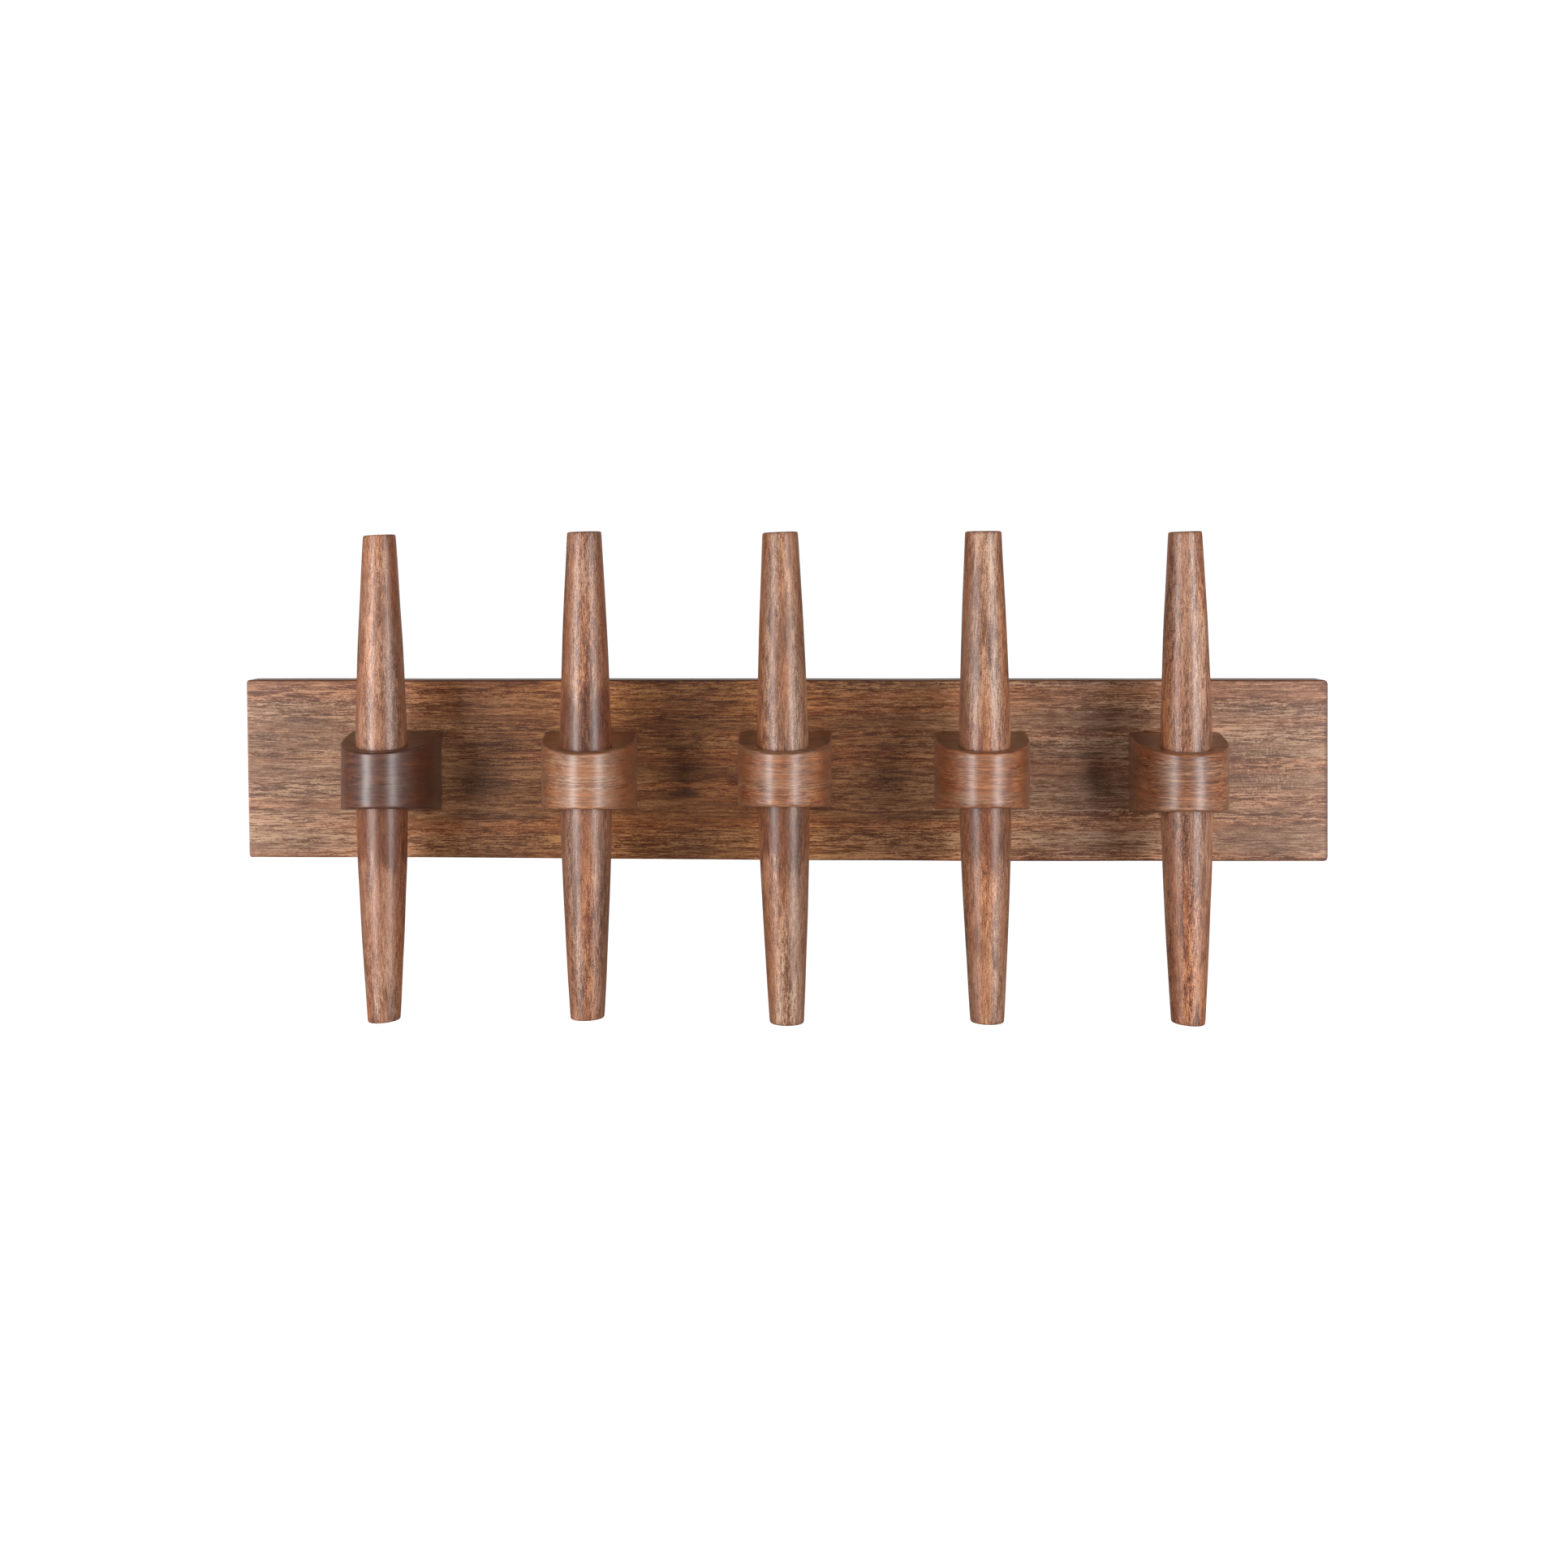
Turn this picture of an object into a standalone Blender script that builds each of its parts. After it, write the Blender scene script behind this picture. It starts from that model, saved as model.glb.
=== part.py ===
"""Wall hook rack: a long wooden backboard with five D-shaped blocks on its front. Each block holds
an upright, double-tapered wooden rod, locked by two long screws driven in from the board's back.
The rack hangs on two keyhole plates let into the back.

Metres, +Z up. X runs along the board and the front faces -Y. The origin is the centre of the
board's back face, so the wall is the plane y = 0.
"""

import math

import bmesh
import bpy
from mathutils import Vector

# ---------------------------------------------------------------- driving dimensions
GAP = 0.0003                  # clearance kept between neighbouring pieces
SIDE_GAP_SHARE = 1.35         # wider round a screw, where the faceted hole's flats come closer

BOARD_LENGTH = 0.612
BOARD_HEIGHT = 0.1025
BOARD_THICKNESS = 0.022
BOARD_ARRIS = 0.0009

STATION_COUNT = 5
STATION_SPACING = 0.1096

BLOCK_WIDTH = 0.052
BLOCK_DEPTH = 0.0615
BLOCK_BACK_HEIGHT = 0.045
BLOCK_NOSE_HEIGHT = 0.0294
BLOCK_STRAIGHT = 0.019        # depth of the parallel sides, before the rounded nose
BLOCK_ARRIS = 0.0006
NOSE_POWER = 2.25             # 2 is an ellipse, and more is a fuller nose
NOSE_STEPS = 16

ROD_LENGTH = 0.2686
ROD_STANDOFF = 0.040          # from the board's front face to the rod's axis
ROD_RADIUS = 0.0139
ROD_TIP_RADIUS = 0.0095
ROD_PARALLEL = 0.022          # half length of the untapered middle
ROD_TAPER_POWER = 1.35
ROD_ARRIS = 0.0008
ROD_TAPER_STEPS = 5
ROD_SIDES = 20

SCREW_RISE = 0.012            # height of a block screw above or below the block's middle
SCREW_SINK = 0.0005           # from the board's back face down to the screw's head
SCREW_LENGTH = 0.060
SCREW_SHANK_RADIUS = 0.0021
SCREW_ROOT_RADIUS = 0.0015
SCREW_HEAD_RADIUS = 0.0041
SCREW_HEAD_HEIGHT = 0.0028
SCREW_THREAD_LENGTH = 0.026
SCREW_TURNS = 5
SCREW_TIP_LENGTH = 0.004
SCREW_SIDES = 8

HANGER_SPACING = 0.4064       # between the two keyholes
HANGER_HEIGHT = 0.025         # the plates' middle above the board's middle
PLATE_WIDTH = 0.016
PLATE_LENGTH = 0.038
PLATE_THICKNESS = 0.0016
PLATE_SCREW_RISE = 0.0145
KEYHOLE_ENTRY_RADIUS = 0.0048
KEYHOLE_ENTRY_DROP = 0.0040
KEYHOLE_SLOT_RADIUS = 0.0024
KEYHOLE_SLOT_RISE = 0.0050
POCKET_RADIUS = 0.0065
POCKET_DEPTH = 0.0070
ARC_STEPS = 6

PLATE_SCREW_LENGTH = 0.0135
PLATE_SCREW_SHANK_RADIUS = 0.0014
PLATE_SCREW_ROOT_RADIUS = 0.0010
PLATE_SCREW_HEAD_RADIUS = 0.0028
PLATE_SCREW_HEAD_HEIGHT = 0.0014
PLATE_SCREW_THREAD_LENGTH = 0.0085
PLATE_SCREW_TURNS = 3
PLATE_SCREW_TIP_LENGTH = 0.0025

THREAD_ROOT_AT = 0.25         # where along one turn of a thread it is deepest
THREAD_CREST_AT = 0.75
SCREW_POINT_SHARE = 0.25      # the blunt point's radius against the root's

OVERCUT = 0.001               # how far a cutter runs out of the face that it opens
ARRIS_ANGLE = math.radians(40)    # a block's edge gets an arris where it turns by more than this
SMOOTH_ANGLE = math.radians(35)   # below this angle, faces shade as one surface

BLOCK_BACK = BOARD_THICKNESS + GAP
ROD_AXIS = BOARD_THICKNESS + ROD_STANDOFF
PLATE_BACK = GAP
PLATE_FRONT = GAP + PLATE_THICKNESS


# ---------------------------------------------------------------- scene and materials
def clear_scene():
    for old in list(bpy.data.objects):
        bpy.data.objects.remove(old, do_unlink=True)


def principled(name, colour, roughness, metallic=0.0):
    material = bpy.data.materials.new(name)
    material.use_nodes = True
    shader = material.node_tree.nodes["Principled BSDF"]
    shader.inputs["Base Color"].default_value = (*colour, 1.0)
    shader.inputs["Roughness"].default_value = roughness
    shader.inputs["Metallic"].default_value = metallic
    return material


def wood(name, colour, roughness=0.5):
    return principled(name, colour, roughness)


def steel(name, colour=(0.60, 0.58, 0.52), roughness=0.35):
    return principled(name, colour, roughness, 1.0)


# ---------------------------------------------------------------- mesh helpers
def make_object(name, bm, material=None):
    bmesh.ops.recalc_face_normals(bm, faces=bm.faces)
    mesh = bpy.data.meshes.new(name)
    bm.to_mesh(mesh)
    bm.free()
    obj = bpy.data.objects.new(name, mesh)
    bpy.context.scene.collection.objects.link(obj)
    if material:
        mesh.materials.append(material)
    return obj


def as_cutter(obj):
    obj.hide_render = True
    obj.display_type = "WIRE"
    return obj


def cut(target, cutter):
    modifier = target.modifiers.new("cut_" + cutter.name, "BOOLEAN")
    modifier.operation = "DIFFERENCE"
    modifier.solver = "EXACT"
    modifier.object = cutter


def smooth(obj):
    obj.data.shade_smooth()
    obj.data.set_sharp_from_angle(angle=SMOOTH_ANGLE)


def turned_along(bm, profile, sides, place):
    """Turn (radius, distance) points round an axis and close both ends with flat discs.
    place(across, along, up) puts a turned point into the object's frame."""
    rings = []
    for radius, along in profile:
        ring = []
        for side in range(sides):
            angle = 2 * math.pi * side / sides
            ring.append(bm.verts.new(place(radius * math.cos(angle), along, radius * math.sin(angle))))
        rings.append(ring)
    for low, high in zip(rings, rings[1:]):
        for side in range(sides):
            after = (side + 1) % sides
            bm.faces.new((low[side], low[after], high[after], high[side]))
    bm.faces.new(rings[0])
    bm.faces.new(list(reversed(rings[-1])))


def turned_upright(name, profile, sides, material=None):
    bm = bmesh.new()
    turned_along(bm, profile, sides, lambda across, along, up: (across, up, along))
    return make_object(name, bm, material)


def turned_inward(name, profile, sides, material=None):
    """The turned shape's axis points from the wall towards the front, along -Y."""
    bm = bmesh.new()
    turned_along(bm, profile, sides, lambda across, along, up: (across, -along, up))
    return make_object(name, bm, material)


def plate_prism(name, outline, back, front, material=None):
    """A flat piece whose (x, z) outline runs from depth back to depth front, measured along -Y."""
    bm = bmesh.new()
    near = [bm.verts.new((x, -back, z)) for x, z in outline]
    far = [bm.verts.new((x, -front, z)) for x, z in outline]
    count = len(outline)
    for index in range(count):
        after = (index + 1) % count
        bm.faces.new((near[index], near[after], far[after], far[index]))
    bm.faces.new(near)
    bm.faces.new(list(reversed(far)))
    return make_object(name, bm, material)


def arc(centre_z, radius, start, stop, steps=ARC_STEPS):
    points = []
    for step in range(steps + 1):
        angle = start + (stop - start) * step / steps
        points.append((radius * math.cos(angle), centre_z + radius * math.sin(angle)))
    return points


def oblong(radius, low, high):
    """An upright slot shape with round ends about heights low and high."""
    return arc(high, radius, 0, math.pi) + arc(low, radius, math.pi, 2 * math.pi)


def keyhole():
    """A round entry with a narrower slot rising out of it, as one outline."""
    neck = math.acos(KEYHOLE_SLOT_RADIUS / KEYHOLE_ENTRY_RADIUS)
    entry = arc(-KEYHOLE_ENTRY_DROP, KEYHOLE_ENTRY_RADIUS, math.pi - neck, 2 * math.pi + neck, 2 * ARC_STEPS)
    slot = arc(KEYHOLE_SLOT_RISE, KEYHOLE_SLOT_RADIUS, 0, math.pi)
    return slot + entry


# ---------------------------------------------------------------- profiles
def screw_profile(length, shank, root, head, head_height, thread, turns, tip):
    """Countersunk head, plain shank, ridged thread and a blunt point, from the head inwards."""
    points = [(head, 0.0), (shank, head_height)]
    start = length - tip - thread
    pitch = thread / turns
    points.append((shank, start))
    for turn in range(turns):
        points.append((root, start + (turn + THREAD_ROOT_AT) * pitch))
        points.append((shank, start + (turn + THREAD_CREST_AT) * pitch))
    points.append((root, length - tip))
    points.append((root * SCREW_POINT_SHARE, length))
    return points


def screw_hole_profile(length, shank, head, head_height, sink):
    """The room for a sunk screw: open mouth, countersink, straight hole and a pointed bottom."""
    side = GAP * SIDE_GAP_SHARE
    return [
        (head + side, -sink - OVERCUT),
        (head + side, 0.0),
        (shank + side, head_height),
        (shank + side, length - shank),
        (GAP, length + side),
    ]


def block_screw_profile():
    return screw_profile(
        SCREW_LENGTH, SCREW_SHANK_RADIUS, SCREW_ROOT_RADIUS, SCREW_HEAD_RADIUS,
        SCREW_HEAD_HEIGHT, SCREW_THREAD_LENGTH, SCREW_TURNS, SCREW_TIP_LENGTH)


def block_screw_hole_profile():
    return screw_hole_profile(
        SCREW_LENGTH, SCREW_SHANK_RADIUS, SCREW_HEAD_RADIUS, SCREW_HEAD_HEIGHT, SCREW_SINK)


def plate_screw_profile():
    return screw_profile(
        PLATE_SCREW_LENGTH, PLATE_SCREW_SHANK_RADIUS, PLATE_SCREW_ROOT_RADIUS,
        PLATE_SCREW_HEAD_RADIUS, PLATE_SCREW_HEAD_HEIGHT, PLATE_SCREW_THREAD_LENGTH,
        PLATE_SCREW_TURNS, PLATE_SCREW_TIP_LENGTH)


def plate_screw_hole_profile():
    return screw_hole_profile(
        PLATE_SCREW_LENGTH, PLATE_SCREW_SHANK_RADIUS, PLATE_SCREW_HEAD_RADIUS,
        PLATE_SCREW_HEAD_HEIGHT, PLATE_BACK)


def rod_radius(height):
    """Parallel through the block, then a taper that steepens towards the tip."""
    taper = (abs(height) - ROD_PARALLEL) / (ROD_LENGTH / 2 - ROD_PARALLEL)
    return ROD_RADIUS - (ROD_RADIUS - ROD_TIP_RADIUS) * max(taper, 0.0) ** ROD_TAPER_POWER


def rod_profile():
    half = ROD_LENGTH / 2
    upper = [(ROD_RADIUS, ROD_PARALLEL)]
    for step in range(1, ROD_TAPER_STEPS + 1):
        height = ROD_PARALLEL + (half - ROD_ARRIS - ROD_PARALLEL) * step / ROD_TAPER_STEPS
        upper.append((rod_radius(height), height))
    upper.append((ROD_TIP_RADIUS - ROD_ARRIS, half))
    lower = [(radius, -height) for radius, height in reversed(upper)]
    return lower + upper


def block_outline():
    """Plan of a block as (across, depth): straight sides, then half a superellipse as the nose."""
    half = BLOCK_WIDTH / 2
    nose = BLOCK_DEPTH - BLOCK_STRAIGHT
    points = [(-half, 0.0)]
    for step in range(NOSE_STEPS + 1):
        angle = math.pi * step / NOSE_STEPS
        across = -half * math.copysign(abs(math.cos(angle)) ** (2 / NOSE_POWER), math.cos(angle))
        depth = BLOCK_STRAIGHT + nose * abs(math.sin(angle)) ** (2 / NOSE_POWER)
        points.append((across, depth))
    points.append((half, 0.0))
    return points


# ---------------------------------------------------------------- pieces
def make_backboard():
    bm = bmesh.new()
    bmesh.ops.create_cube(bm, size=1.0)
    bmesh.ops.scale(bm, vec=Vector((BOARD_LENGTH, BOARD_THICKNESS, BOARD_HEIGHT)), verts=bm.verts)
    bmesh.ops.translate(bm, vec=Vector((0.0, -BOARD_THICKNESS / 2, 0.0)), verts=bm.verts)
    board = make_object("backboard", bm, wood("backboard_wood", (0.30, 0.155, 0.075)))
    arris = board.modifiers.new("eased_edges", "BEVEL")
    arris.width = BOARD_ARRIS
    arris.segments = 1
    return board


def make_block(number, x, colour):
    half_back = BLOCK_BACK_HEIGHT / 2
    slope = (BLOCK_BACK_HEIGHT - BLOCK_NOSE_HEIGHT) / 2 / BLOCK_DEPTH
    bm = bmesh.new()
    upper = []
    lower = []
    for across, depth in block_outline():
        height = half_back - slope * depth
        upper.append(bm.verts.new((across, -BLOCK_BACK - depth, height)))
        lower.append(bm.verts.new((across, -BLOCK_BACK - depth, -height)))
    count = len(upper)
    for index in range(count):
        after = (index + 1) % count
        bm.faces.new((lower[index], lower[after], upper[after], upper[index]))
    bm.faces.new(upper)
    bm.faces.new(list(reversed(lower)))
    block = make_object(f"hook_block_{number}", bm, wood(f"hook_block_{number}_wood", colour))
    block.location.x = x
    arris = block.modifiers.new("eased_edges", "BEVEL")
    arris.width = BLOCK_ARRIS
    arris.segments = 1
    arris.limit_method = "ANGLE"
    arris.angle_limit = ARRIS_ANGLE
    return block


def make_rod_bore(number, x):
    reach = BLOCK_BACK_HEIGHT
    radius = ROD_RADIUS + GAP / math.cos(math.pi / ROD_SIDES)
    bore = turned_upright(f"bore_cutter_{number}", [(radius, -reach), (radius, reach)], ROD_SIDES)
    bore.location = (x, -ROD_AXIS, 0.0)
    return as_cutter(bore)


def make_rod(number, x, colour):
    rod = turned_upright(
        f"hook_rod_{number}", rod_profile(), ROD_SIDES, wood(f"hook_rod_{number}_wood", colour))
    rod.location = (x, -ROD_AXIS, 0.0)
    smooth(rod)
    return rod


def make_block_screw(number, place, x, z):
    screw = turned_inward(
        f"block_screw_{number}_{place}", block_screw_profile(), SCREW_SIDES,
        steel(f"block_screw_{number}_{place}_steel"))
    screw.location = (x, -SCREW_SINK, z)
    smooth(screw)
    hole = turned_inward(f"screw_cutter_{number}_{place}", block_screw_hole_profile(), SCREW_SIDES)
    hole.location = screw.location
    return as_cutter(hole)


def make_station(number, x, block_colour, rod_colour, board):
    """One hook: a block on the board's front, its rod, and the two screws that lock both."""
    block = make_block(number, x, block_colour)
    rod = make_rod(number, x, rod_colour)
    cut(block, make_rod_bore(number, x))
    for place, z in (("upper", SCREW_RISE), ("lower", -SCREW_RISE)):
        hole = make_block_screw(number, place, x, z)
        for piece in (board, block, rod):
            cut(piece, hole)


def make_hanger(side, x, board):
    """One keyhole plate in its recess, with the pocket for a wall screw's head behind it."""
    end = PLATE_LENGTH / 2 - PLATE_WIDTH / 2
    plate = plate_prism(
        f"keyhole_hanger_{side}", oblong(PLATE_WIDTH / 2, -end, end), PLATE_BACK, PLATE_FRONT,
        steel(f"keyhole_hanger_{side}_steel"))
    opening = plate_prism(f"keyhole_cutter_{side}", keyhole(), PLATE_BACK - OVERCUT, PLATE_FRONT + OVERCUT)
    recess = plate_prism(
        f"recess_cutter_{side}", oblong(PLATE_WIDTH / 2 + GAP, -end, end), -OVERCUT, PLATE_FRONT + GAP)
    pocket = plate_prism(
        f"pocket_cutter_{side}", oblong(POCKET_RADIUS, -KEYHOLE_ENTRY_DROP, KEYHOLE_SLOT_RISE),
        0.0, PLATE_FRONT + GAP + POCKET_DEPTH)
    for piece in (plate, opening, recess, pocket):
        piece.location = (x, 0.0, HANGER_HEIGHT)
    cut(plate, as_cutter(opening))
    cut(board, as_cutter(recess))
    cut(board, as_cutter(pocket))
    for place, rise in (("upper", PLATE_SCREW_RISE), ("lower", -PLATE_SCREW_RISE)):
        screw = turned_inward(
            f"hanger_screw_{side}_{place}", plate_screw_profile(), SCREW_SIDES,
            steel(f"hanger_screw_{side}_{place}_steel"))
        screw.location = (x, -PLATE_BACK, HANGER_HEIGHT + rise)
        smooth(screw)
        hole = turned_inward(f"hanger_screw_cutter_{side}_{place}", plate_screw_hole_profile(), SCREW_SIDES)
        hole.location = screw.location
        cut(plate, as_cutter(hole))
        cut(board, hole)


def main():
    clear_scene()
    board = make_backboard()
    block_colours = [
        (0.085, 0.045, 0.028), (0.150, 0.068, 0.036), (0.165, 0.075, 0.038),
        (0.160, 0.070, 0.036), (0.125, 0.060, 0.032)]
    rod_colours = [
        (0.25, 0.125, 0.055), (0.17, 0.085, 0.045), (0.30, 0.160, 0.070),
        (0.27, 0.135, 0.060), (0.22, 0.115, 0.060)]
    for index in range(STATION_COUNT):
        x = (index - (STATION_COUNT - 1) / 2) * STATION_SPACING
        make_station(index + 1, x, block_colours[index], rod_colours[index], board)
    make_hanger("left", -HANGER_SPACING / 2, board)
    make_hanger("right", HANGER_SPACING / 2, board)


main()
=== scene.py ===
import math

import bmesh
import bpy
import numpy as np
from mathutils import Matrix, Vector, noise


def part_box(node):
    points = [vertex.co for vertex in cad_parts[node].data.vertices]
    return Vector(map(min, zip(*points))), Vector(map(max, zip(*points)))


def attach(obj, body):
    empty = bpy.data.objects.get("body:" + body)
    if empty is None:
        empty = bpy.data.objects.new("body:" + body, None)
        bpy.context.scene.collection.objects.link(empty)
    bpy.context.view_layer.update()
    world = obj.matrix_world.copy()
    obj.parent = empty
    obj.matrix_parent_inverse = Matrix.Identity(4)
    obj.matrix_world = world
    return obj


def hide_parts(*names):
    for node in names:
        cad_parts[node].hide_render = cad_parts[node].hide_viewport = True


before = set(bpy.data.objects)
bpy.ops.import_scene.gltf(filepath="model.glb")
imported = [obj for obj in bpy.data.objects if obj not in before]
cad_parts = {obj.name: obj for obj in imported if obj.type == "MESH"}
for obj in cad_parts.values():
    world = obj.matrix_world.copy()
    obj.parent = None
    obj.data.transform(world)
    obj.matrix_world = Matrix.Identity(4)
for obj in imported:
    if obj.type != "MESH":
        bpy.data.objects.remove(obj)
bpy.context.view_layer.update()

# The rack's wooden pieces are hand-shaped, so each one gets its own small irregularities here.
# Everything is placed from the frame's boxes: X along the board, -Y to the front, +Z up, metres.

STATIONS = range(1, 6)
PLACES = ("upper", "lower")
SIDES = ("left", "right")
BODY = "root"

# ---------------------------------------------------------------- sizes from the frame
board_low, board_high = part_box("backboard")
BOARD_LENGTH = board_high.x - board_low.x
BOARD_HEIGHT = board_high.z - board_low.z
BOARD_FRONT = board_low.y
BOARD_THICKNESS = board_high.y - board_low.y


def box_middle(node):
    low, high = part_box(node)
    return (low + high) / 2


# ---------------------------------------------------------------- camera, light and stage
EYE_DISTANCE = 1.122          # from the board's front face
EYE_HEIGHT = 0.1075           # above the board's middle
EYE_SIDE = -0.0010            # and a little to its left
LENS = 45.65                  # millimetres, as is the sensor's width
SENSOR = 36.0
FRAME_SHIFT = -0.130          # the rack hangs lower in the frame than the eye level

# Each softbox: name, azimuth and elevation in degrees, distance, width and height in metres, watts,
# and whether the wood mirrors it. Azimuth 0 is the front and positive is to the right. The ones
# that aren't mirrored act as cross-polarised light: they light the wood and leave no sheen.
SOFTBOXES = (
    ("left_key", -42, 0, 1.15, 0.30, 0.75, 8.8, True),
    ("right_key", 41, 0, 1.15, 0.30, 0.75, 8.4, True),
    ("left_side", -74, 0, 0.98, 1.10, 1.30, 11.0, False),
    ("right_side", 69, 0, 0.98, 1.10, 1.30, 9.0, False),
    ("front_fill", 0, 20, 1.30, 1.00, 0.70, 1.2, True),
    ("back_panel", 180, 22, 1.20, 1.80, 0.60, 1.8, True),
    ("back_low", 180, 4, 1.20, 1.80, 0.50, 5.0, False),
)
WORLD_FILL = 0.10             # what the world adds to the light on the wood
WORLD_WHITE = 1.05            # what the camera sees behind the rack
FLOOR_LEVEL = -0.75
FLOOR_HALF = 6.0


def make_camera():
    data = bpy.data.cameras.new("camera")
    data.lens = LENS
    data.sensor_width = SENSOR
    data.shift_y = FRAME_SHIFT
    data.clip_start = 0.01
    camera = bpy.data.objects.new("camera", data)
    bpy.context.scene.collection.objects.link(camera)
    camera.location = (EYE_SIDE, BOARD_FRONT - EYE_DISTANCE, EYE_HEIGHT)
    camera.rotation_euler = (math.pi / 2, 0, 0)
    bpy.context.scene.camera = camera


def make_softbox(name, azimuth, elevation, distance, width, height, power, mirrored):
    """A rectangular light that faces the rack's middle."""
    data = bpy.data.lights.new(name, "AREA")
    data.shape = "RECTANGLE"
    data.size = width
    data.size_y = height
    data.energy = power
    light = bpy.data.objects.new(name, data)
    bpy.context.scene.collection.objects.link(light)
    turn = math.radians(azimuth)
    rise = math.radians(elevation)
    away = Vector((math.sin(turn) * math.cos(rise), -math.cos(turn) * math.cos(rise), math.sin(rise)))
    light.visible_glossy = mirrored
    light.location = away * distance
    light.rotation_euler = (-away).to_track_quat("-Z", "Y").to_euler()


def make_world():
    """White for the camera, dimmer for everything else, so that the softboxes shape the wood."""
    world = bpy.data.worlds.new("studio")
    bpy.context.scene.world = world
    world.use_nodes = True
    nodes = world.node_tree.nodes
    links = world.node_tree.links
    nodes.clear()
    output = nodes.new("ShaderNodeOutputWorld")
    mix = nodes.new("ShaderNodeMixShader")
    path = nodes.new("ShaderNodeLightPath")
    fill = nodes.new("ShaderNodeBackground")
    fill.inputs["Strength"].default_value = WORLD_FILL
    white = nodes.new("ShaderNodeBackground")
    white.inputs["Strength"].default_value = WORLD_WHITE
    for background in (fill, white):
        background.inputs["Color"].default_value = (1, 1, 1, 1)
    links.new(path.outputs["Is Camera Ray"], mix.inputs["Fac"])
    links.new(fill.outputs[0], mix.inputs[1])
    links.new(white.outputs[0], mix.inputs[2])
    links.new(mix.outputs[0], output.inputs["Surface"])


def make_floor():
    """A plain white studio floor well below the rack. It lights nothing and isn't mirrored."""
    bm = bmesh.new()
    bmesh.ops.create_grid(bm, x_segments=8, y_segments=8, size=FLOOR_HALF)
    mesh = bpy.data.meshes.new("studio_floor")
    bm.to_mesh(mesh)
    bm.free()
    floor = bpy.data.objects.new("studio_floor", mesh)
    bpy.context.scene.collection.objects.link(floor)
    floor.location.z = FLOOR_LEVEL
    material = bpy.data.materials.new("studio_floor_white")
    material.use_nodes = True
    shader = material.node_tree.nodes["Principled BSDF"]
    shader.inputs["Base Color"].default_value = (0.9, 0.9, 0.9, 1)
    shader.inputs["Roughness"].default_value = 0.9
    shader.inputs["Emission Color"].default_value = (1, 1, 1, 1)
    shader.inputs["Emission Strength"].default_value = 1.0
    mesh.materials.append(material)
    floor.visible_diffuse = False
    floor.visible_glossy = False


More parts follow.
